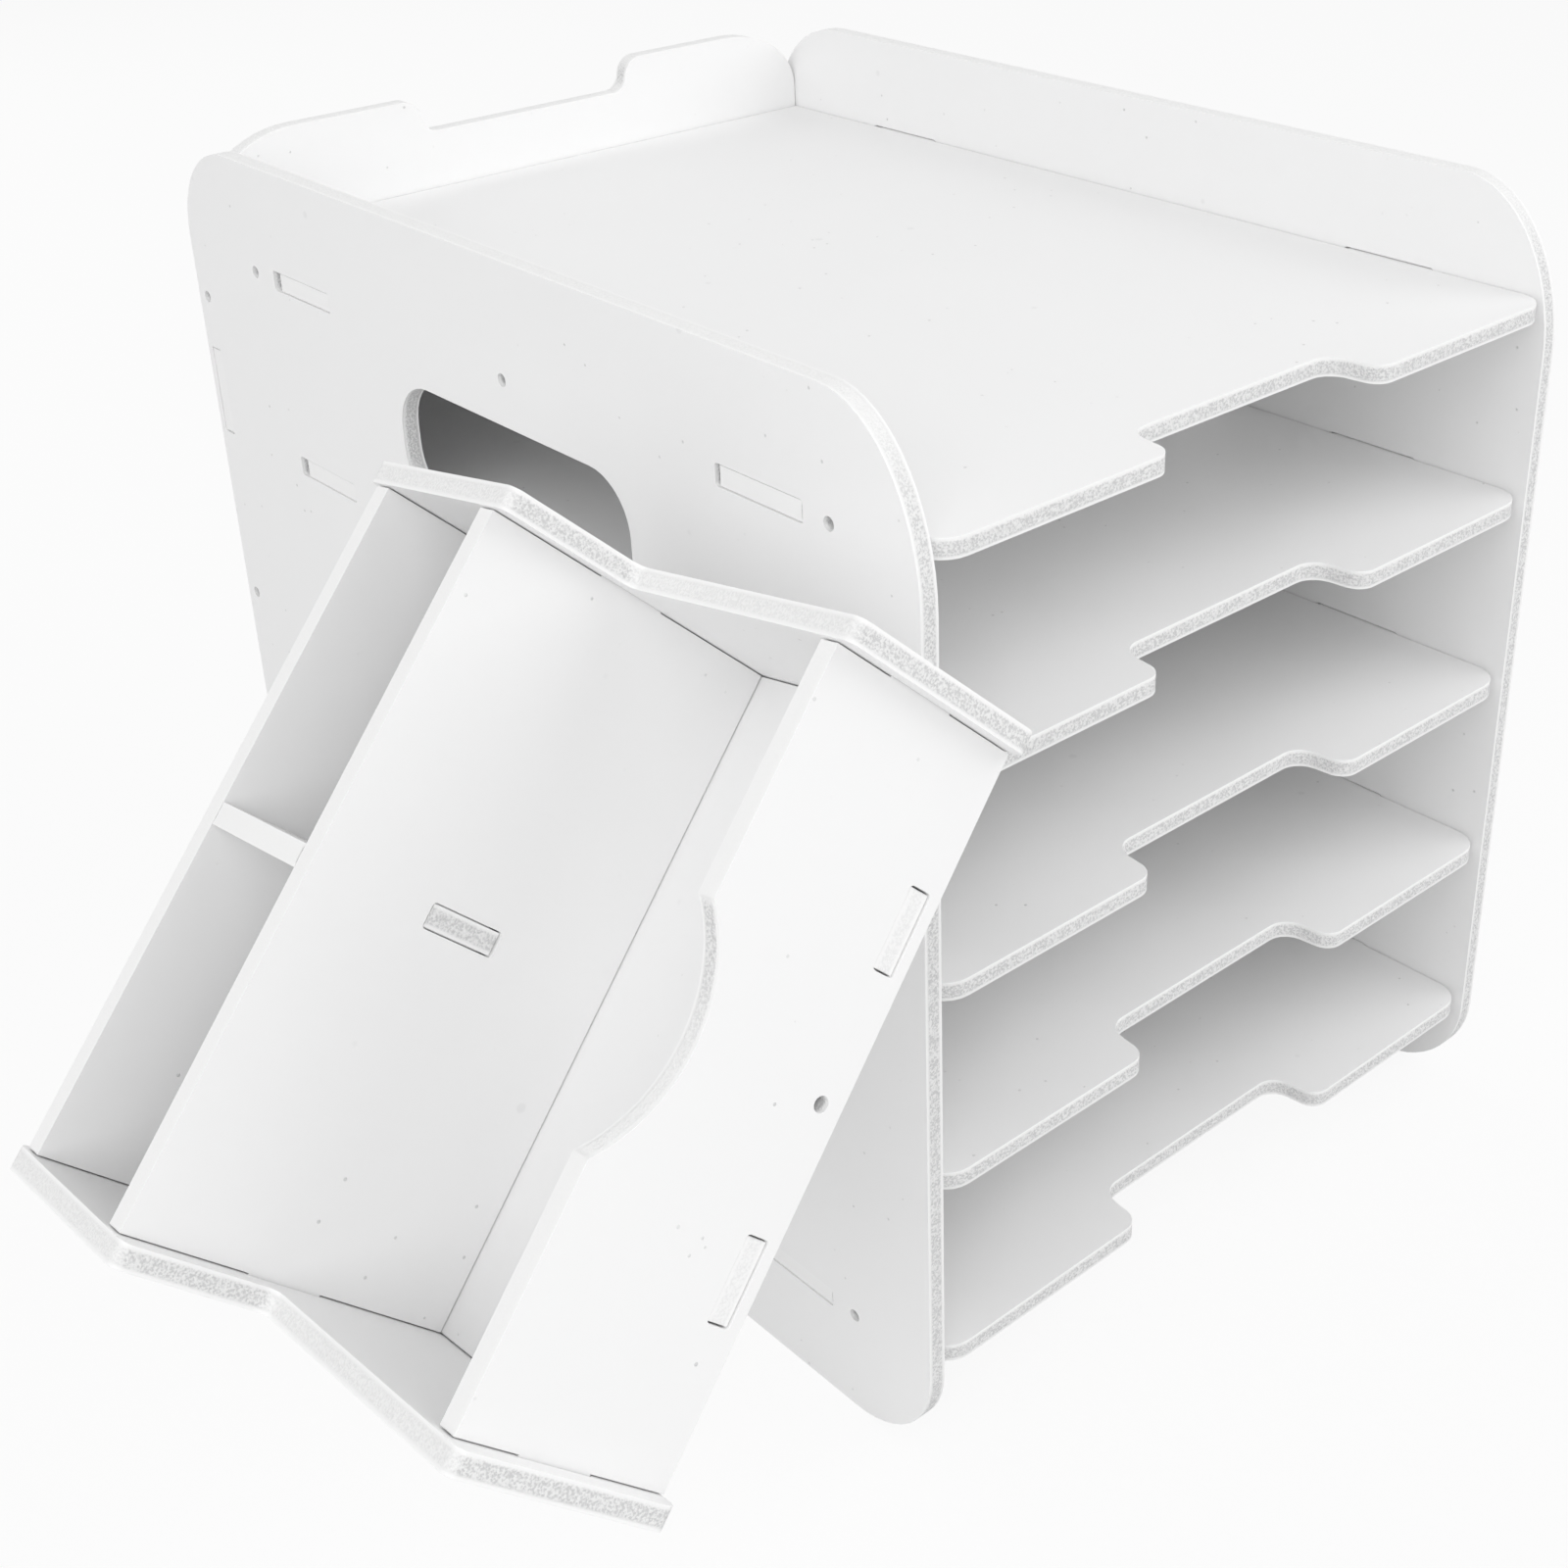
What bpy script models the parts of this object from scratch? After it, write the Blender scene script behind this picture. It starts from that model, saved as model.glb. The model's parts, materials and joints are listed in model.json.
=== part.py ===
"""A desk file sorter cut from white foam board, with a loose stepped pen holder beside it.

Two side panels, a back panel and five shelves lock together with tabs that pass through slots. Seven more
boards make the pen holder the same way. Every board is one flat outline, extruded to the board's thickness,
with its slots and holes cut by one cutter.

The origin is the middle of the back panel's bottom edge. +X is to the right, +Y to the back and +Z up, so the
shelves open towards -Y. Lengths are in metres.
"""
import math

import bmesh
import bpy
from mathutils import Euler, Vector

# Board stock and the joinery that all boards share
board = 0.005                     # thickness of the foam board
fit_gap = 0.0003                  # clearance between boards that touch
slot_corner = 0.0008              # corner radius that the cutter leaves in a slot
slot_end_room = 0.0004            # room past the end of a tab for the slot's rounded corners
screw_hole = 0.0034               # diameter of the empty screw holes
cut_overrun = 0.002               # how far a cutter stands out of the board on both faces
curve_sag = 0.00006               # largest distance from a facet to the curve that it stands for
plain_hole_steps = 16             # facets round a screw hole

# Side panels, measured from the front bottom corner
side_depth = 0.306
side_height = 0.279
side_front_run = 0.030            # top front corner: where the curve starts, from the front edge
side_front_drop = 0.044           # and where it ends, from the top edge
side_rear_radius = 0.028          # top rear corner
side_foot_radius = 0.028          # both bottom corners

# Hand hole in each side panel, between the two upper shelves
hand_hole_width = 0.0995
hand_hole_height = 0.034
hand_hole_radius = 0.0145
hand_hole_centre = 0.1486         # from the front edge
hand_hole_top_gap = 0.0097        # from the top shelf's underside

# Shelves
inner_width = 0.2165              # between the side panels, for a sheet 210 mm wide
shelf_count = 5
top_shelf_drop = 0.028            # upper face of the top shelf, below the side panels' top
bottom_shelf_level = 0.0334       # upper face of the bottom shelf; the others lie evenly between the two
shelf_corner_radius = 0.008
notch_width = 0.0732              # finger notch in the front edge, at half its depth
notch_depth = 0.0148
notch_flare = 0.0016              # how far each side of the notch leans outwards
notch_outer_radius = 0.0045
notch_inner_radius = 0.0055
shelf_slot_length = 0.0293        # slots in the side panels; each tab lies at the front end of its slot
shelf_front_slot = 0.0506         # middle of the front slot, from the front edge
shelf_rear_slot = 0.2436          # middle of the rear slot, from the front edge
front_slot_room = 0.0014          # room behind the tab in the front slot
rear_slot_room = 0.0033           # room behind the tab in the rear slot
side_tab_recess = 0.0003          # how far a tab ends below the side panel's outer face
shelf_front_hole = 0.0277         # screw holes beside the top and bottom shelf, from the front edge
shelf_middle_hole = 0.1477
shelf_rear_hole = 0.2686

# Back panel
back_lip = 0.0024                 # side panels reach this far behind it
back_top_step = 0.001             # its top lies this far below the side panels' top
back_corner_run = 0.0285
back_corner_drop = 0.020
back_notch_width = 0.0755         # at half its depth
back_notch_depth = 0.010
back_notch_flare = 0.0016
back_notch_outer_radius = 0.005
back_notch_inner_radius = 0.004
back_tab_length = 0.0256
back_tab_offset = 0.0657          # tabs above and below the middle of the side panel's height
back_hole_offset = 0.0945         # screw holes above and below the middle

# Pen holder, in its own frame: x along its length, y = 0 at the back, z = 0 at its base
holder_length = 0.160
holder_depth = 0.128
holder_height = 0.084
step_depth = 0.0565               # depth of the tall rear part
step_height = 0.0505              # height of the low front part
rim_corner = 0.0024               # rounding of the end panels' corners
wall_setback = 0.0049             # middle and front wall: front face behind the end panels' edge
rear_setback = 0.0025             # back wall: rear face in front of the end panels' edge
wall_drop = 0.001                 # rear walls' top edge below the end panels' rim
front_wall_drop = 0.0016
holder_floor_level = 0.003        # underside of the floor
holder_tab_length = 0.0166
rear_tab_level = 0.0465           # middle of the tabs of the tall walls and of the divider
front_tab_level = 0.0262          # middle of the front wall's end tabs
floor_tab_offset = 0.0351         # floor tabs left and right of the middle
holder_tab_recess = 0.0004
scoop_radius = 0.0335
scoop_lowest = 0.0383             # lowest point of the scoop above the base

# Where the pen holder rests against the left side panel, as it is photographed: tilted, its right end up
holder_turn = Euler((math.radians(-16.6), math.radians(-44.8), math.radians(9.4)))
holder_from_front = 0.0683        # its left base corner at the back, from the sorter's front edge
holder_below_top = 0.1902         # the same corner below the side panels' top

# Worked out from the sizes above
outer_half = inner_width / 2 + board
back_middle = side_depth - back_lip - board / 2      # back panel's middle plane, from the front edge
back_face = back_middle - board / 2
top_shelf_level = side_height - top_shelf_drop
shelf_pitch = (top_shelf_level - bottom_shelf_level) / (shelf_count - 1)
shelf_levels = [top_shelf_level - shelf_pitch * i for i in range(shelf_count)]
slot_width = board + 2 * fit_gap
shelf_tabs = [(slot - shelf_slot_length / 2 + slot_end_room, slot + shelf_slot_length / 2 - room)
              for slot, room in ((shelf_front_slot, front_slot_room), (shelf_rear_slot, rear_slot_room))]
holder_floor_top = holder_floor_level + board
middle_wall_back = step_depth - wall_setback - board         # distances from the holder's back plane
front_wall_back = holder_depth - wall_setback - board
rear_wall_top = holder_height - wall_drop
front_wall_top = step_height - front_wall_drop
holder_middle = holder_length / 2

SHELF_NAMES = ["top_shelf", "upper_shelf", "middle_shelf", "lower_shelf", "bottom_shelf"]
UPRIGHT = Euler((math.radians(90), 0, 0))                    # outline's x to +X, its y to +Z
SIDEWAYS = Euler((math.radians(90), 0, math.radians(90)))    # outline's x to +Y, its y to +Z
FLAT = Euler((0, 0, 0))
WHITE = (0.88, 0.88, 0.885, 1)


def curve_steps(size):
    """Facets in a quarter turn of this radius, so that none lies further than curve_sag from the curve."""
    return max(3, round(math.pi / 4 * math.sqrt(size / (2 * curve_sag))))


def rounded(corners):
    """Outline points from corners (x, y), (x, y, radius) or (x, y, run before it, run after it)."""
    points = []
    for i, corner in enumerate(corners):
        here = Vector(corner[:2])
        if len(corner) == 2:
            points.append(here)
            continue
        before = Vector(corners[i - 1][:2])
        after = Vector(corners[(i + 1) % len(corners)][:2])
        to_start = (before - here).normalized() * corner[2]
        to_end = (after - here).normalized() * corner[-1]
        steps = curve_steps(max(corner[2:]))
        for k in range(steps + 1):
            angle = math.pi / 2 * k / steps
            points.append(here + to_start * (1 - math.sin(angle)) + to_end * (1 - math.cos(angle)))
    return points


def tab(at, middle, length, reach, rising):
    """Four corners of a tab on an upright edge at x = at, that reaches to x = reach."""
    low, high = middle - length / 2, middle + length / 2
    corners = [(at, low), (reach, low), (reach, high), (at, high)]
    return corners if rising else corners[::-1]


def floor_tab(middle, at, reach, rightwards):
    """Four corners of a tab on a level edge at y = at, that reaches to y = reach."""
    left, right = middle - holder_tab_length / 2, middle + holder_tab_length / 2
    corners = [(left, at), (left, reach), (right, reach), (right, at)]
    return corners if rightwards else corners[::-1]


def scooped_edge(left, right, top):
    """The top edge of the front wall from right to left, with the round scoop in its middle."""
    centre_height = scoop_lowest + scoop_radius
    half_angle = math.acos((centre_height - top) / scoop_radius)
    steps = 2 * curve_steps(scoop_radius)
    corners = [(right, top)]
    for k in range(steps + 1):
        angle = half_angle - 2 * half_angle * k / steps
        corners.append((holder_middle + scoop_radius * math.sin(angle),
                        centre_height - scoop_radius * math.cos(angle)))
    return corners + [(left, top)]


def slot_outline(x, y, width, height, radius=slot_corner):
    """A rectangle with rounded corners round (x, y)."""
    half_x, half_y = width / 2, height / 2
    return rounded([(x - half_x, y - half_y, radius), (x + half_x, y - half_y, radius),
                    (x + half_x, y + half_y, radius), (x - half_x, y + half_y, radius)])


def level_slot(x, y, tab_length):
    """Slot for a tab that lies level."""
    return slot_outline(x, y, tab_length + 2 * slot_end_room, slot_width)


def upright_slot(x, y, tab_length):
    """Slot for a tab that stands upright."""
    return slot_outline(x, y, slot_width, tab_length + 2 * slot_end_room)


def round_hole(x, y):
    """Outline of a screw hole."""
    turn = 2 * math.pi / plain_hole_steps
    return [Vector((x + screw_hole / 2 * math.cos(turn * k), y + screw_hole / 2 * math.sin(turn * k)))
            for k in range(plain_hole_steps)]


def extruded(name, outlines, bottom, height):
    """A mesh with one prism for each outline, standing on z = bottom."""
    shape = bmesh.new()
    for points in outlines:
        face = shape.faces.new([shape.verts.new((p[0], p[1], bottom)) for p in points])
        grown = bmesh.ops.extrude_face_region(shape, geom=[face])
        top = [v for v in grown["geom"] if isinstance(v, bmesh.types.BMVert)]
        bmesh.ops.translate(shape, verts=top, vec=(0, 0, height))
    bmesh.ops.recalc_face_normals(shape, faces=shape.faces)
    mesh = bpy.data.meshes.new(name)
    shape.to_mesh(mesh)
    shape.free()
    mesh.shade_smooth()
    mesh.set_sharp_from_angle(angle=math.radians(35))
    return mesh


def foam_board_material(name):
    """White foam board with a satin skin."""
    material = bpy.data.materials.new(name)
    material.use_nodes = True
    shader = material.node_tree.nodes["Principled BSDF"]
    shader.inputs["Base Color"].default_value = WHITE
    shader.inputs["Roughness"].default_value = 0.45
    shader.inputs["Metallic"].default_value = 0.0
    return material


def add_board(name, outline, place, turn, cuts=(), parent=None):
    """One board with its cuts. The outline is drawn in the board's own x and y, the thickness goes to +z."""
    item = bpy.data.objects.new(name, extruded(name, [outline], 0, board))
    item.data.materials.append(foam_board_material(name))
    item.parent = parent
    item.location = place
    item.rotation_euler = turn
    bpy.context.collection.objects.link(item)
    if cuts:
        cutter = bpy.data.objects.new(name + "_cutter",
                                      extruded(name + "_cutter", cuts, -cut_overrun, board + 2 * cut_overrun))
        cutter.parent = parent
        cutter.location = place
        cutter.rotation_euler = turn
        cutter.hide_render = True
        cutter.display_type = "WIRE"
        bpy.context.collection.objects.link(cutter)
        cut = item.modifiers.new("slots_and_holes", "BOOLEAN")
        cut.operation = "DIFFERENCE"
        cut.solver = "EXACT"
        cut.object = cutter
    return item


def side_panel(name, left_face):
    """A side panel with its slots, screw holes and hand hole, its left face at x = left_face."""
    outline = rounded([(0, 0, side_foot_radius), (side_depth, 0, side_foot_radius),
                       (side_depth, side_height, side_rear_radius),
                       (0, side_height, side_front_run, side_front_drop)])
    middles = [level - board / 2 for level in shelf_levels]
    cuts = [slot_outline(y, z, shelf_slot_length, slot_width)
            for z in middles for y in (shelf_front_slot, shelf_rear_slot)]
    cuts += [upright_slot(back_middle, side_height / 2 + side * back_tab_offset, back_tab_length)
             for side in (-1, 1)]
    cuts += [round_hole(y, z) for z in (middles[0], middles[-1])
             for y in (shelf_front_hole, shelf_middle_hole, shelf_rear_hole)]
    cuts += [round_hole(back_middle, side_height / 2 + side * back_hole_offset) for side in (-1, 0, 1)]
    hand_hole_middle = shelf_levels[0] - board - hand_hole_top_gap - hand_hole_height / 2
    cuts.append(slot_outline(hand_hole_centre, hand_hole_middle, hand_hole_width, hand_hole_height,
                             hand_hole_radius))
    add_board(name, outline, (left_face, -back_middle, 0), SIDEWAYS, cuts)


def back_panel():
    """The back panel between the side panels, with its wide notch in the top edge and two tabs a side."""
    half = inner_width / 2 - fit_gap
    reach = outer_half - side_tab_recess
    top = side_height - back_top_step
    low = top - back_notch_depth
    notch_top = back_notch_width / 2 + back_notch_flare / 2
    notch_low = back_notch_width / 2 - back_notch_flare / 2
    tabs = [side_height / 2 - back_tab_offset, side_height / 2 + back_tab_offset]
    corners = [(-half, 0), (half, 0)]
    for middle in tabs:
        corners += tab(half, middle, back_tab_length, reach, True)
    corners += [(half, top, back_corner_drop, back_corner_run), (notch_top, top, back_notch_outer_radius),
                (notch_low, low, back_notch_inner_radius), (-notch_low, low, back_notch_inner_radius),
                (-notch_top, top, back_notch_outer_radius), (-half, top, back_corner_run, back_corner_drop)]
    for middle in reversed(tabs):
        corners += tab(-half, middle, back_tab_length, -reach, False)
    add_board("back_panel", rounded(corners), (0, board / 2, 0), UPRIGHT)


def shelf(name, level):
    """A shelf with a finger notch in its front edge and two tabs a side, its upper face at z = level."""
    half = inner_width / 2 - fit_gap
    reach = outer_half - side_tab_recess
    depth = back_face - fit_gap
    notch_front = notch_width / 2 + notch_flare / 2
    notch_rear = notch_width / 2 - notch_flare / 2
    corners = [(-half, 0, shelf_corner_radius), (-notch_front, 0, notch_outer_radius),
               (-notch_rear, notch_depth, notch_inner_radius), (notch_rear, notch_depth, notch_inner_radius),
               (notch_front, 0, notch_outer_radius), (half, 0, shelf_corner_radius)]
    for start, end in shelf_tabs:
        corners += tab(half, (start + end) / 2, end - start, reach, True)
    corners += [(half, depth), (-half, depth)]
    for start, end in reversed(shelf_tabs):
        corners += tab(-half, (start + end) / 2, end - start, -reach, False)
    add_board(name, rounded(corners), (0, -back_middle, level - board), FLAT)


def holder_end(name, left_face, parent):
    """A stepped end panel of the pen holder with a slot for each of the three walls."""
    step = holder_depth - step_depth
    outline = rounded([(0, 0, rim_corner), (holder_depth, 0, rim_corner), (holder_depth, holder_height, rim_corner),
                       (step, holder_height, rim_corner), (step, step_height, rim_corner),
                       (0, step_height, rim_corner)])
    cuts = [upright_slot(holder_depth - back - board / 2, level, holder_tab_length)
            for back, level in ((rear_setback, rear_tab_level), (middle_wall_back, rear_tab_level),
                                (front_wall_back, front_tab_level))]
    add_board(name, outline, (left_face, -holder_depth, 0), SIDEWAYS, cuts, parent)


def holder_wall(name, back, bottom, top_edge, tab_level, cuts, parent):
    """A long wall between the end panels, with a tab at each end. top_edge runs from right to left."""
    left, right = board + fit_gap, holder_length - board - fit_gap
    reach = holder_length - holder_tab_recess
    corners = [(left, bottom), (right, bottom)]
    corners += tab(right, tab_level, holder_tab_length, reach, True)
    corners += top_edge(left, right)
    corners += tab(left, tab_level, holder_tab_length, holder_tab_recess, False)
    add_board(name, rounded(corners), (0, -back, 0), UPRIGHT, cuts, parent)


def holder_walls(parent):
    """Back, middle and front wall. The floor's tabs show in the outer two, the divider's in the rear two."""
    def straight_edge(left, right):
        return [(right, rear_wall_top), (left, rear_wall_top)]

    def front_edge(left, right):
        return scooped_edge(left, right, front_wall_top)

    floor_middle = holder_floor_level + board / 2
    divider_cut = [upright_slot(holder_middle, rear_tab_level, holder_tab_length)]
    floor_cuts = [level_slot(holder_middle + side * floor_tab_offset, floor_middle, holder_tab_length)
                  for side in (-1, 1)]
    floor_cuts.append(round_hole(holder_middle, floor_middle))
    holder_wall("pen_holder_back_wall", rear_setback, 0, straight_edge, rear_tab_level,
                floor_cuts + divider_cut, parent)
    holder_wall("pen_holder_middle_wall", middle_wall_back, holder_floor_top + fit_gap, straight_edge,
                rear_tab_level, divider_cut, parent)
    holder_wall("pen_holder_front_wall", front_wall_back, 0, front_edge, front_tab_level, floor_cuts, parent)


def holder_floor(parent):
    """The floor between the four outer boards, with two tabs in the front wall and two in the back wall."""
    left, right = board + fit_gap, holder_length - board - fit_gap
    front, rear = -front_wall_back + fit_gap, -rear_setback - board - fit_gap
    front_reach = -front_wall_back - board + holder_tab_recess
    rear_reach = -rear_setback - holder_tab_recess
    corners = [(left, front)]
    for side in (-1, 1):
        corners += floor_tab(holder_middle + side * floor_tab_offset, front, front_reach, True)
    corners += [(right, front), (right, rear)]
    for side in (1, -1):
        corners += floor_tab(holder_middle + side * floor_tab_offset, rear, rear_reach, False)
    corners.append((left, rear))
    add_board("pen_holder_floor", rounded(corners), (0, 0, holder_floor_level), FLAT, parent=parent)


def holder_divider(parent):
    """The short board that parts the rear compartment, with a tab in the middle wall and one in the back wall."""
    front, rear = -middle_wall_back + fit_gap, -rear_setback - board - fit_gap
    front_reach = -middle_wall_back - board + holder_tab_recess
    rear_reach = -rear_setback - holder_tab_recess
    bottom = holder_floor_top + fit_gap
    corners = [(front, bottom), (rear, bottom)]
    corners += tab(rear, rear_tab_level, holder_tab_length, rear_reach, True)
    corners += [(rear, rear_wall_top), (front, rear_wall_top)]
    corners += tab(front, rear_tab_level, holder_tab_length, front_reach, False)
    add_board("pen_holder_divider", rounded(corners), (holder_middle - board / 2, 0, 0), SIDEWAYS, parent=parent)


def holder_frame():
    """The empty that carries the pen holder: tilted, with its outermost corner a fit gap off the side panel."""
    turn = holder_turn.to_matrix()
    corners = [Vector((x, -y, z)) for x in (0, holder_length)
               for y, z in ((0, 0), (0, holder_height), (step_depth, holder_height),
                            (holder_depth, step_height), (holder_depth, 0))]
    outermost = max((turn @ corner).x for corner in corners)
    frame = bpy.data.objects.new("pen_holder_frame", None)
    frame.rotation_euler = holder_turn
    frame.location = (-outer_half - fit_gap - outermost, holder_from_front - back_middle,
                      side_height - holder_below_top)
    bpy.context.collection.objects.link(frame)
    return frame


def main():
    for item in list(bpy.data.objects):
        bpy.data.objects.remove(item)
    side_panel("left_side_panel", -outer_half)
    side_panel("right_side_panel", inner_width / 2)
    back_panel()
    for name, level in zip(SHELF_NAMES, shelf_levels):
        shelf(name, level)
    frame = holder_frame()
    holder_end("pen_holder_left_end", 0, frame)
    holder_end("pen_holder_right_end", holder_length - board, frame)
    holder_walls(frame)
    holder_floor(frame)
    holder_divider(frame)
    bpy.context.view_layer.update()


main()
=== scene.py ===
"""The desk file sorter with its loose pen holder: foam board finish, softened edges, studio and camera.

Each packed board is copied, joined into one clean solid and given softened rims and a foam board
finish that tells the satin skin of its two faces from the pitted foam of its cut edges, with a painted
highlight along the rims and painted shade on the cuts that do not face upwards. Lengths are in
metres.
"""
import json
import math

import bmesh
import bpy
from bpy.props import FloatProperty, FloatVectorProperty, PointerProperty
from mathutils import Euler, Matrix, Vector

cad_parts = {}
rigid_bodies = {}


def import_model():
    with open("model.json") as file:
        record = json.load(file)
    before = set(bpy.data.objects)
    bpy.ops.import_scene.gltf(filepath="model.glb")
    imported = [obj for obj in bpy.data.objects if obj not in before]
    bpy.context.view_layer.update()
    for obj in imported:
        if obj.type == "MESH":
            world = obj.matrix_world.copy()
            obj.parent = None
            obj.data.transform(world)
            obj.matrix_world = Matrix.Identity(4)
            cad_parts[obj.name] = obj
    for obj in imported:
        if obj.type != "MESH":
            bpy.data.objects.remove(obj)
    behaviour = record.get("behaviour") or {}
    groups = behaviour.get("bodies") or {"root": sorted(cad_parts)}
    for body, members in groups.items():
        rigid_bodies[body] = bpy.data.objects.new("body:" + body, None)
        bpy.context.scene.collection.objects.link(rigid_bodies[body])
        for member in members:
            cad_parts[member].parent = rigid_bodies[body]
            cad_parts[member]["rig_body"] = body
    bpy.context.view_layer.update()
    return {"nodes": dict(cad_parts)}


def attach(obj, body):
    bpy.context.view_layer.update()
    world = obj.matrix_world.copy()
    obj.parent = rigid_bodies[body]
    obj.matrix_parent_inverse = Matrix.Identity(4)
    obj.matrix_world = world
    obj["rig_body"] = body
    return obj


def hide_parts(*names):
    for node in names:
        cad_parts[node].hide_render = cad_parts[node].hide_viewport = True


bl_info = {
    "name": "Foam Board File Sorter",
    "version": (1, 0, 0),
    "blender": (4, 5, 0),
    "location": "3D Viewport > Sidebar > File Sorter",
    "description": "Dresses a desk file sorter and its pen holder in white foam board, in a plain studio",
    "category": "Object",
}

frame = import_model()

SIDES = ["left_side_panel", "right_side_panel"]
SHELVES = ["top_shelf", "upper_shelf", "middle_shelf", "lower_shelf", "bottom_shelf"]
HOLDER_ENDS = ["pen_holder_left_end", "pen_holder_right_end"]
HOLDER_WALLS = ["pen_holder_back_wall", "pen_holder_middle_wall", "pen_holder_front_wall"]
HOLDER_INSIDE = ["pen_holder_floor", "pen_holder_divider"]


# Sizes and colours

class BoardFinish(bpy.types.PropertyGroup):
    """The foam board that every piece is cut from, with the painted highlight and painted shade of its cuts.
    """
    skin_colour: FloatVectorProperty(name="Skin Colour",
                                     description="Colour of the board's two smooth faces",
                                     subtype="COLOR", min=0, max=1, default=(0.93, 0.93, 0.93))
    foam_colour: FloatVectorProperty(name="Foam Colour", description="Colour of the foam in the cut edges",
                                     subtype="COLOR", min=0, max=1, default=(0.94, 0.94, 0.938))
    rim_width: FloatProperty(name="Rim Width", description="Rounding along the edges of every board",
                             unit="LENGTH", min=0.0001, max=0.001, default=0.00015)
    # Painted highlight: the bright band along the rims where skin and cut meet.
    rim_colour: FloatVectorProperty(name="Rim Colour",
                                    description="Colour of the polished rims of the skin",
                                    subtype="COLOR", min=0, max=1, default=(0.96, 0.96, 0.96))
    pore_size: FloatProperty(name="Pore Size", description="Size of the cells that a cut opens in the foam",
                             unit="LENGTH", min=0.0001, max=0.003, default=0.00055)
    pore_depth: FloatProperty(name="Pore Depth", description="Depth of the open cells in the cut edges",
                              unit="LENGTH", min=0, max=0.001, default=0.0003)
    # The open cells' darkness is partly the foam's own grain and partly painted shade in the cells, weaker
    # on cuts that face upwards.
    pore_darkness: FloatProperty(name="Pore Darkness", description="How much darker the open cells are",
                                 subtype="FACTOR", min=0, max=1, default=0.4)
    # Painted shade: cuts that do not face upwards are painted darker by this share.
    cut_shade: FloatProperty(name="Cut Shade", description="How much the rough cut is darker than its foam",
                             subtype="FACTOR", min=0, max=1, default=0.12)


class StudioLight(bpy.types.PropertyGroup):
    """The soft light round the sorter."""
    room_level: FloatProperty(name="Room Light", description="Strength of the even light from all sides",
                              min=0, max=2, default=0.45)
    left_power: FloatProperty(name="Left Lamp", description="Power of the soft lamp on the left",
                              unit="POWER", min=0, max=500, default=3.5)
    front_left_power: FloatProperty(name="Front Left Lamp",
                                    description="Power of the high soft lamp at the front left",
                                    unit="POWER", min=0, max=500, default=9.5)
    front_right_power: FloatProperty(name="Front Right Lamp",
                                     description="Power of the high soft lamp at the front right",
                                     unit="POWER", min=0, max=500, default=9.5)
    back_power: FloatProperty(name="Back Lamp", description="Power of the soft lamp behind the sorter",
                              unit="POWER", min=0, max=500, default=5)


# Shader expressions

# Where a Mix node keeps its factor and two colours, and the colour that it gives
MIX_COLOUR_INPUTS, MIX_COLOUR_OUTPUT = (0, 6, 7), 2


class Wire:
    """A node's output in an expression: each operator adds the Math node that it stands for."""

    def __init__(self, paint, output):
        self.paint, self.output = paint, output

    def __getitem__(self, name):
        return Wire(self.paint, self.output.node.outputs[name])

    def math(self, operation, *others):
        return self.paint.add("ShaderNodeMath", {"operation": operation}, *((self,) + others))

    def __add__(self, other):
        return self.math("ADD", other)

    def __mul__(self, other):
        return self.math("MULTIPLY", other)

    def __rsub__(self, other):
        return self.paint.add("ShaderNodeMath", {"operation": "SUBTRACT"}, other, self)

    __radd__ = __add__
    __rmul__ = __mul__

    def step(self, low, high):
        """0 below low and 1 above high, with a smooth passage between."""
        settings = {"interpolation_type": "SMOOTHSTEP"}
        return self.paint.add("ShaderNodeMapRange", settings, self, low, high, 0.0, 1.0)


class Paint:
    """The nodes of a new material or world while they are set up."""

    def __init__(self, owner):
        owner.use_nodes = True
        self.tree = owner.node_tree
        self.tree.nodes.clear()

    def add(self, kind, settings, *values, **named):
        """Adds a node: its settings first, then the values or wires of its sockets, in order or by name."""
        node = self.tree.nodes.new(kind)
        for key, value in settings.items():
            setattr(node, key, value)
        for socket, value in zip(node.inputs, values):
            self.feed(socket, value)
        for key, value in named.items():
            self.feed(node.inputs[key.replace("_", " ")], value)
        return Wire(self, node.outputs[0]) if node.outputs else node

    def feed(self, socket, value):
        """Links a wire to the socket, or sets a plain value on it."""
        if isinstance(value, Wire):
            self.tree.links.new(value.output, socket)
        else:
            socket.default_value = value

    def blend(self, factor, first, second):
        """Colour mix of two colours or wires."""
        node = self.add("ShaderNodeMix", {"data_type": "RGBA"}).output.node
        for place, value in zip(MIX_COLOUR_INPUTS, (factor, first, second)):
            self.feed(node.inputs[place], value)
        return Wire(self, node.outputs[MIX_COLOUR_OUTPUT])


# Foam board

# The board's material: its own colours, grain and marks, with a painted highlight along the rims and painted
# shade on the cuts.
FINISH_NAME = "foam_board_finish"

# Where each band of a cut begins and ends, as shares of half the thickness: 0 in the middle, 1 on the skin
OPEN_FOAM_ENDS = (0.50, 0.80)
# The bright band along each rim, from where it begins to where it ends, is a painted highlight.
RIM_HIGHLIGHT_BEGINS, RIM_HIGHLIGHT_ENDS = (0.84, 0.90), (0.97, 1.0)
SKIN_BEGINS = (0.94, 0.98)

# What darkens the board, the grey of its marks and of the painted shade in its cuts, and how strongly each
# mark does
MARK_AND_SHADE_GREY = (0.35, 0.35, 0.36, 1)
CLOUD_TINT, SMUDGE_TINT, SPECK_TINT = 0.03, 0.10, 0.36

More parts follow.
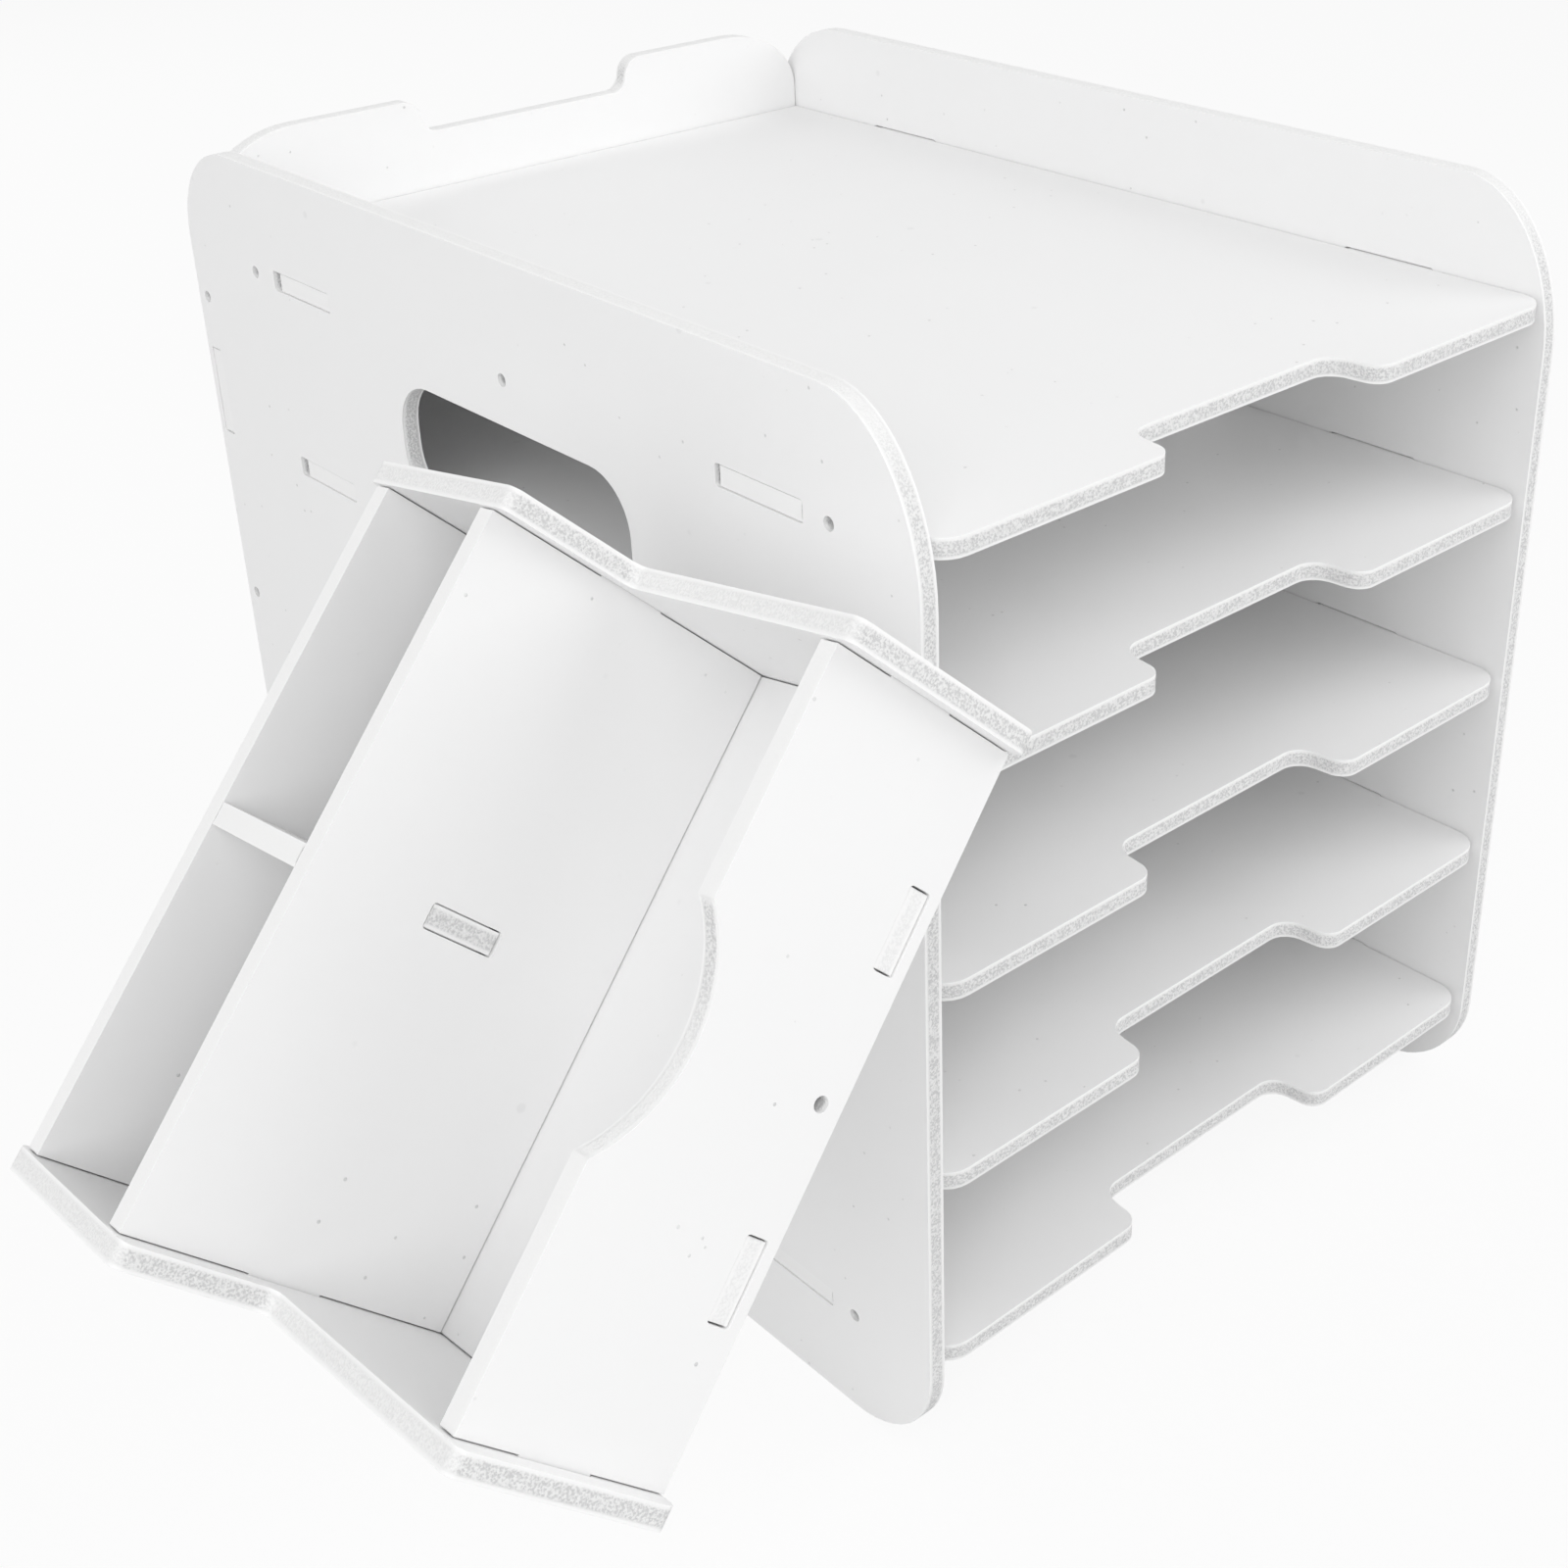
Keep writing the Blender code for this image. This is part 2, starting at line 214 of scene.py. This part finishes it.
CLOUD_SIZE, CLOUD_DETAIL = 0.06, 2.0               # faint unevenness of the skin
SMUDGE_SPACING, SMUDGE_SIZE = 0.028, 0.0026
SPECK_SPACING, SPECK_SIZE = 0.007, 0.0009
SPECKED_CLOUDS = (0.42, 0.60)                      # specks lie only in these patches
MARK_EDGE = (0.3, 0.5)                             # soft edge of a mark, in shares of its size
SPECK_RELIEF = 0.5                                 # depth of a speck as a share of a cell's

OPEN_CELLS = (0.36, 0.62)                          # level of the noise from dark cell to cell wall
CELL_DETAIL, CELL_ROUGHNESS = 1.5, 0.6
# Painted light from above: cuts that face upwards are painted lighter, with less of the cells' darkness and
# none of the painted cut shade.
LIT_FROM_ABOVE = (0.2, 0.9)                        # upright part of a surface's direction
LIT_CELLS = 0.85                                   # share of a cell's darkness that such light takes away

SKIN_ROUGHNESS, CUT_ROUGHNESS, CLOUD_ROUGHNESS = 0.46, 0.3, 0.08


def foam_board_material(finish):
    """Satin skin on the two faces and pitted foam in the cut edges, with a painted highlight along the rims
    where they meet and painted shade on the cuts that do not face upwards.
    """
    material = bpy.data.materials.new(FINISH_NAME)
    paint = Paint(material)
    spot = paint.add("ShaderNodeTexCoord", {})["Object"]
    across = paint.add("ShaderNodeAttribute", {"attribute_name": "across_board"})["Fac"].math("ABSOLUTE")
    # Plain cuts have no open cells; on the pen holder's upward top edges this is partly painted light.
    plain_end = paint.add("ShaderNodeAttribute", {"attribute_name": "plain_end"})["Fac"]
    cut = 1 - across.step(*SKIN_BEGINS)
    core = (1 - across.step(*OPEN_FOAM_ENDS)) * (1 - plain_end)
    # Painted highlight along the rims of each cut.
    rim_highlight = across.step(*RIM_HIGHLIGHT_BEGINS) * (1 - across.step(*RIM_HIGHLIGHT_ENDS))
    # Painted light: how far each cut faces upwards, which paints it lighter.
    facing = paint.add("ShaderNodeSeparateXYZ", {}, paint.add("ShaderNodeTexCoord", {})["Normal"])
    up = facing["Z"].step(*LIT_FROM_ABOVE)

    cells = paint.add("ShaderNodeTexNoise", {}, Vector=spot, Scale=1 / finish.pore_size, Detail=CELL_DETAIL,
                      Roughness=CELL_ROUGHNESS)
    # Dark open cells: partly grain, partly painted shade, mostly taken away where the cut faces upwards.
    cell_grain_and_shade = (1 - cells.step(*OPEN_CELLS)) * core * (1 - up * LIT_CELLS)
    clouds = paint.add("ShaderNodeTexNoise", {}, Vector=spot, Scale=1 / CLOUD_SIZE, Detail=CLOUD_DETAIL)
    smudges = scattered(paint, spot, SMUDGE_SPACING, SMUDGE_SIZE)
    specks = scattered(paint, spot, SPECK_SPACING, SPECK_SIZE) * clouds.step(*SPECKED_CLOUDS)

    marks = smudges * SMUDGE_TINT + specks * SPECK_TINT + clouds * CLOUD_TINT
    skin = paint.blend(marks, (*finish.skin_colour, 1), MARK_AND_SHADE_GREY)
    # Painted shade on the cuts: the cells' darkness, partly grain, and the painted cut shade, both weaker
    # where the cut faces upwards.
    shade = cell_grain_and_shade * finish.pore_darkness + (1 - up) * core * finish.cut_shade
    foam = paint.blend(shade, (*finish.foam_colour, 1), MARK_AND_SHADE_GREY)
    colour = paint.blend(rim_highlight, paint.blend(cut, skin, foam), (*finish.rim_colour, 1))
    relief = cells * core + specks * (1 - cut) * SPECK_RELIEF
    bump = paint.add("ShaderNodeBump", {}, Strength=1.0, Distance=finish.pore_depth, Height=relief)
    shader = paint.add("ShaderNodeBsdfPrincipled", {}, Base_Color=colour, Normal=bump,
                       Roughness=cut * CUT_ROUGHNESS + clouds * CLOUD_ROUGHNESS + SKIN_ROUGHNESS)
    paint.add("ShaderNodeOutputMaterial", {}, shader)
    return material


def scattered(paint, spot, spacing, size):
    """1 in small round marks that lie about a spacing apart, and 0 between them."""
    points = paint.add("ShaderNodeTexVoronoi", {"feature": "F1"}, Vector=spot, Scale=1 / spacing)
    inner, outer = (size / spacing * share for share in MARK_EDGE)
    return 1 - points["Distance"].step(inner, outer)


# Boards

# How smooth a piece's cut is at its tabs' ends, and along its top edge; on the pen holder's upward top edges
# the smoothing is partly painted light, which paints them lighter
PLAIN_TABS = {**dict.fromkeys(SHELVES, 1.0), "back_panel": 1.0, "pen_holder_floor": 0.7}
PLAIN_AND_PAINTED_LIGHT_TOPS = {**dict.fromkeys(HOLDER_WALLS, 0.9), "pen_holder_divider": 0.9}
TAB_END_AREA = (0.00005, 0.00015)                  # square metres
OUTERMOST_GAP = 1e-5                               # a face this close to its board's reach is its outermost
ALONG_BOARD = 0.1                                  # most of a cut's direction that points through the board
POINTS_UP = 0.99                                   # least of a top edge's direction that points upwards

# The pen holder's own upward direction, from the three angles at which it is tilted
HOLDER_TILT = (-16.6, -44.8, 9.4)
HOLDER_UP = Euler([math.radians(angle) for angle in HOLDER_TILT]).to_matrix().col[2]

MERGE_GAP = 1e-6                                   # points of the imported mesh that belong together
FLAT_ANGLE, RIM_ANGLE = math.radians(0.5), math.radians(50)
RIM_SEGMENTS = 2


def finish_settings():
    """The board finish that the scene holds."""
    return bpy.context.scene.sorter_finish


def shared_material():
    """The foam board material, made once for all boards."""
    return bpy.data.materials.get(FINISH_NAME) or foam_board_material(finish_settings())


def thickness_axis(solid):
    """The direction across a board, where its middle lies on it, and half the board's thickness."""
    largest = max(solid.faces, key=lambda face: face.calc_area())
    axis = largest.normal.copy()
    places = [vertex.co.dot(axis) for vertex in solid.verts]
    return axis, (min(places) + max(places)) / 2, (max(places) - min(places)) / 2


def smoothness_and_painted_top_light(node, solid, face, axis):
    """How smooth the cut of this face is, above 0 only where it is the outermost: tab ends and top edges. On
    the pen holder's upward top edges it is partly painted light, which takes the dark cells and painted
    shade away.
    """
    gap = max(vertex.co.dot(face.normal) for vertex in solid.verts) - face.verts[0].co.dot(face.normal)
    if abs(face.normal.dot(axis)) > ALONG_BOARD or gap > OUTERMOST_GAP:
        return 0
    if face.normal.dot(HOLDER_UP) > POINTS_UP:
        return PLAIN_AND_PAINTED_LIGHT_TOPS.get(node, 0)
    return PLAIN_TABS.get(node, 0) if TAB_END_AREA[0] < face.calc_area() < TAB_END_AREA[1] else 0


def dress_board(node):
    """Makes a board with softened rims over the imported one.

    Its points keep their place in the board's thickness, which the finish reads.
    """
    finish = finish_settings()
    solid = bmesh.new()
    solid.from_mesh(frame["nodes"][node].data)
    bmesh.ops.remove_doubles(solid, verts=solid.verts, dist=MERGE_GAP)
    bmesh.ops.dissolve_limit(solid, angle_limit=FLAT_ANGLE, verts=solid.verts, edges=solid.edges)
    axis, middle, half = thickness_axis(solid)
    rims = [edge for edge in solid.edges if edge.is_manifold and edge.calc_face_angle() > RIM_ANGLE]
    bmesh.ops.bevel(solid, geom=rims, offset=finish.rim_width, offset_type="OFFSET", affect="EDGES",
                    segments=RIM_SEGMENTS, profile=0.5, material=-1, clamp_overlap=True,
                    miter_outer="SHARP", miter_inner="SHARP")
    place = solid.verts.layers.float.new("across_board")
    plain = solid.verts.layers.float.new("plain_end")
    for vertex in solid.verts:
        vertex[place] = (vertex.co.dot(axis) - middle) / half
    for face in solid.faces:
        face.smooth = True
        smooth_cut_and_painted_top_light = smoothness_and_painted_top_light(node, solid, face, axis)
        if smooth_cut_and_painted_top_light:
            for vertex in face.verts:
                vertex[plain] = smooth_cut_and_painted_top_light
    normals = [sum((face.normal * face.calc_area() for face in vertex.link_faces), Vector()).normalized()
               for vertex in solid.verts]
    mesh = bpy.data.meshes.new(node + "_board")
    solid.to_mesh(mesh)
    solid.free()
    mesh.normals_split_custom_set_from_vertices(normals)
    mesh.materials.append(shared_material())
    piece = bpy.data.objects.new(node + "_board", mesh)
    bpy.context.scene.collection.objects.link(piece)
    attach(piece, frame["nodes"][node]["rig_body"])
    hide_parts(node)


class SORTER_OT_sides(bpy.types.Operator):
    """Dress both side panels"""
    bl_idname = "sorter.sides"
    bl_label = "Side Panels"

    def execute(self, context):
        for node in SIDES:
            dress_board(node)
        return {"FINISHED"}


class SORTER_OT_back(bpy.types.Operator):
    """Dress the back panel"""
    bl_idname = "sorter.back"
    bl_label = "Back Panel"

    def execute(self, context):
        dress_board("back_panel")
        return {"FINISHED"}


class SORTER_OT_shelves(bpy.types.Operator):
    """Dress the shelves"""
    bl_idname = "sorter.shelves"
    bl_label = "Shelves"

    def execute(self, context):
        for node in SHELVES:
            dress_board(node)
        return {"FINISHED"}


class SORTER_OT_holder_ends(bpy.types.Operator):
    """Dress the pen holder's stepped end panels"""
    bl_idname = "sorter.holder_ends"
    bl_label = "Pen Holder Ends"

    def execute(self, context):
        for node in HOLDER_ENDS:
            dress_board(node)
        return {"FINISHED"}


class SORTER_OT_holder_walls(bpy.types.Operator):
    """Dress the pen holder's long walls"""
    bl_idname = "sorter.holder_walls"
    bl_label = "Pen Holder Walls"

    def execute(self, context):
        for node in HOLDER_WALLS:
            dress_board(node)
        return {"FINISHED"}


class SORTER_OT_holder_inside(bpy.types.Operator):
    """Dress the pen holder's floor and divider"""
    bl_idname = "sorter.holder_inside"
    bl_label = "Pen Holder Floor and Divider"

    def execute(self, context):
        for node in HOLDER_INSIDE:
            dress_board(node)
        return {"FINISHED"}


# Studio

PHOTO_SIDE = 1600                          # the photograph's width and height in pixels
FOCAL_PIXELS = 2291.458                    # focal length in pixels
VIEW_CENTRE = (926.061, 702.587)           # pixel that the lens points at
FILM_WIDTH = 36                            # millimetres
NEAREST_SEEN = 0.01
CAMERA_PLACE = (-0.388547, -0.597915, 0.436354)
LOOK_DOWN, LOOK_ROLL, LOOK_RIGHT = (math.radians(angle) for angle in (28.056, -0.893, 42.439))

LIT_MIDDLE = (-0.05, -0.15, 0.14)          # the place that all lamps face
LAMP_DISTANCE, LAMP_SIZE = 1.6, 1.4
LAMP_DIRECTIONS = {
    "left": (-1, 0, 0.35),
    "front_left": (-1, -1, 1),
    "front_right": (1, -1, 1),
    "back": (0, 1, 0.6),
}

FLOOR_HALF_WIDTH = 6
FLOOR_COLOUR = (0.8, 0.8, 0.8, 1)
FLOOR_WHITENESS = 0.9                      # share of plain white in what the camera sees of the floor
WHITE = (1, 1, 1, 1)


def add_camera():
    """The camera at the photograph's place and angle. The frame is a crop, so the lens is shifted."""
    lens = bpy.data.cameras.new("photo_camera")
    lens.sensor_width = FILM_WIDTH
    lens.lens = FOCAL_PIXELS / PHOTO_SIDE * lens.sensor_width
    lens.shift_x = (PHOTO_SIDE / 2 - VIEW_CENTRE[0]) / PHOTO_SIDE
    lens.shift_y = (VIEW_CENTRE[1] - PHOTO_SIDE / 2) / PHOTO_SIDE
    lens.clip_start = NEAREST_SEEN
    camera = bpy.data.objects.new("photo_camera", lens)
    turn = (Matrix.Rotation(-LOOK_RIGHT, 4, "Z") @ Matrix.Rotation(math.pi / 2 - LOOK_DOWN, 4, "X")
            @ Matrix.Rotation(LOOK_ROLL, 4, "Z"))
    camera.matrix_world = Matrix.Translation(CAMERA_PLACE) @ turn
    bpy.context.scene.collection.objects.link(camera)
    bpy.context.scene.camera = camera


def add_lamp(name, towards, power):
    """A soft square lamp that lies in this direction from the middle of the part and faces it."""
    light = bpy.data.lights.new(name, "AREA")
    light.shape = "SQUARE"
    light.size = LAMP_SIZE
    light.energy = power
    lamp = bpy.data.objects.new(name, light)
    way = Vector(towards).normalized()
    place = Vector(LIT_MIDDLE) + way * LAMP_DISTANCE
    lamp.matrix_world = Matrix.Translation(place) @ way.to_track_quat("Z", "Y").to_matrix().to_4x4()
    bpy.context.scene.collection.objects.link(lamp)


def seen_directly(paint):
    """1 for what the camera sees, by itself or in a glossy or clear surface, and 0 for light on its way."""
    path = paint.add("ShaderNodeLightPath", {})
    return path["Is Camera Ray"] + path["Is Glossy Ray"] + path["Is Transmission Ray"]


def add_floor():
    """A wide pale floor that the camera sees as white with a faint shadow."""
    solid = bmesh.new()
    bmesh.ops.create_grid(solid, x_segments=1, y_segments=1, size=FLOOR_HALF_WIDTH)
    mesh = bpy.data.meshes.new("studio_floor")
    solid.to_mesh(mesh)
    solid.free()
    material = bpy.data.materials.new("studio_floor")
    paint = Paint(material)
    pale = paint.add("ShaderNodeBsdfDiffuse", {}, Color=FLOOR_COLOUR)
    white = paint.add("ShaderNodeEmission", {}, Color=WHITE, Strength=1.0)
    surface = paint.add("ShaderNodeMixShader", {}, seen_directly(paint) * FLOOR_WHITENESS, pale, white)
    paint.add("ShaderNodeOutputMaterial", {}, surface)
    mesh.materials.append(material)
    floor = bpy.data.objects.new("studio_floor", mesh)
    bpy.context.scene.collection.objects.link(floor)


def add_room(level):
    """Even light from all sides, and plain white behind everything."""
    world = bpy.data.worlds.new("studio_room")
    paint = Paint(world)
    light = paint.add("ShaderNodeBackground", {}, Color=WHITE, Strength=level)
    white = paint.add("ShaderNodeBackground", {}, Color=WHITE, Strength=1.0)
    room = paint.add("ShaderNodeMixShader", {}, seen_directly(paint), light, white)
    paint.add("ShaderNodeOutputWorld", {}, room)
    bpy.context.scene.world = world


class SORTER_OT_studio(bpy.types.Operator):
    """Set up the floor, the soft light and the camera"""
    bl_idname = "sorter.studio"
    bl_label = "Studio"

    def execute(self, context):
        light = context.scene.sorter_light
        add_camera()
        add_floor()
        add_room(light.room_level)
        for side, towards in LAMP_DIRECTIONS.items():
            add_lamp(side + "_lamp", towards, getattr(light, side + "_power"))
        context.scene.view_settings.view_transform = "Standard"
        return {"FINISHED"}


class SORTER_PT_panel(bpy.types.Panel):
    """Lists the sorter's pieces and its finish"""
    bl_idname = "SORTER_PT_panel"
    bl_label = "File Sorter"
    bl_space_type = "VIEW_3D"
    bl_region_type = "UI"
    bl_category = "File Sorter"

    def draw(self, context):
        column = self.layout.column()
        for operator in OPERATORS:
            column.operator(operator.bl_idname)
        for group in (context.scene.sorter_finish, context.scene.sorter_light):
            for name in group.__annotations__:
                column.prop(group, name)


OPERATORS = [SORTER_OT_sides, SORTER_OT_back, SORTER_OT_shelves, SORTER_OT_holder_ends,
             SORTER_OT_holder_walls, SORTER_OT_holder_inside, SORTER_OT_studio]
CLASSES = [BoardFinish, StudioLight, *OPERATORS, SORTER_PT_panel]


def register():
    for item in CLASSES:
        bpy.utils.register_class(item)
    bpy.types.Scene.sorter_finish = PointerProperty(type=BoardFinish)
    bpy.types.Scene.sorter_light = PointerProperty(type=StudioLight)


def unregister():
    del bpy.types.Scene.sorter_light
    del bpy.types.Scene.sorter_finish
    for item in reversed(CLASSES):
        bpy.utils.unregister_class(item)


def main():
    register()
    bpy.ops.sorter.sides()
    bpy.ops.sorter.back()
    bpy.ops.sorter.shelves()
    bpy.ops.sorter.holder_ends()
    bpy.ops.sorter.holder_walls()
    bpy.ops.sorter.holder_inside()
    bpy.ops.sorter.studio()


if __name__ == "__main__":
    main()
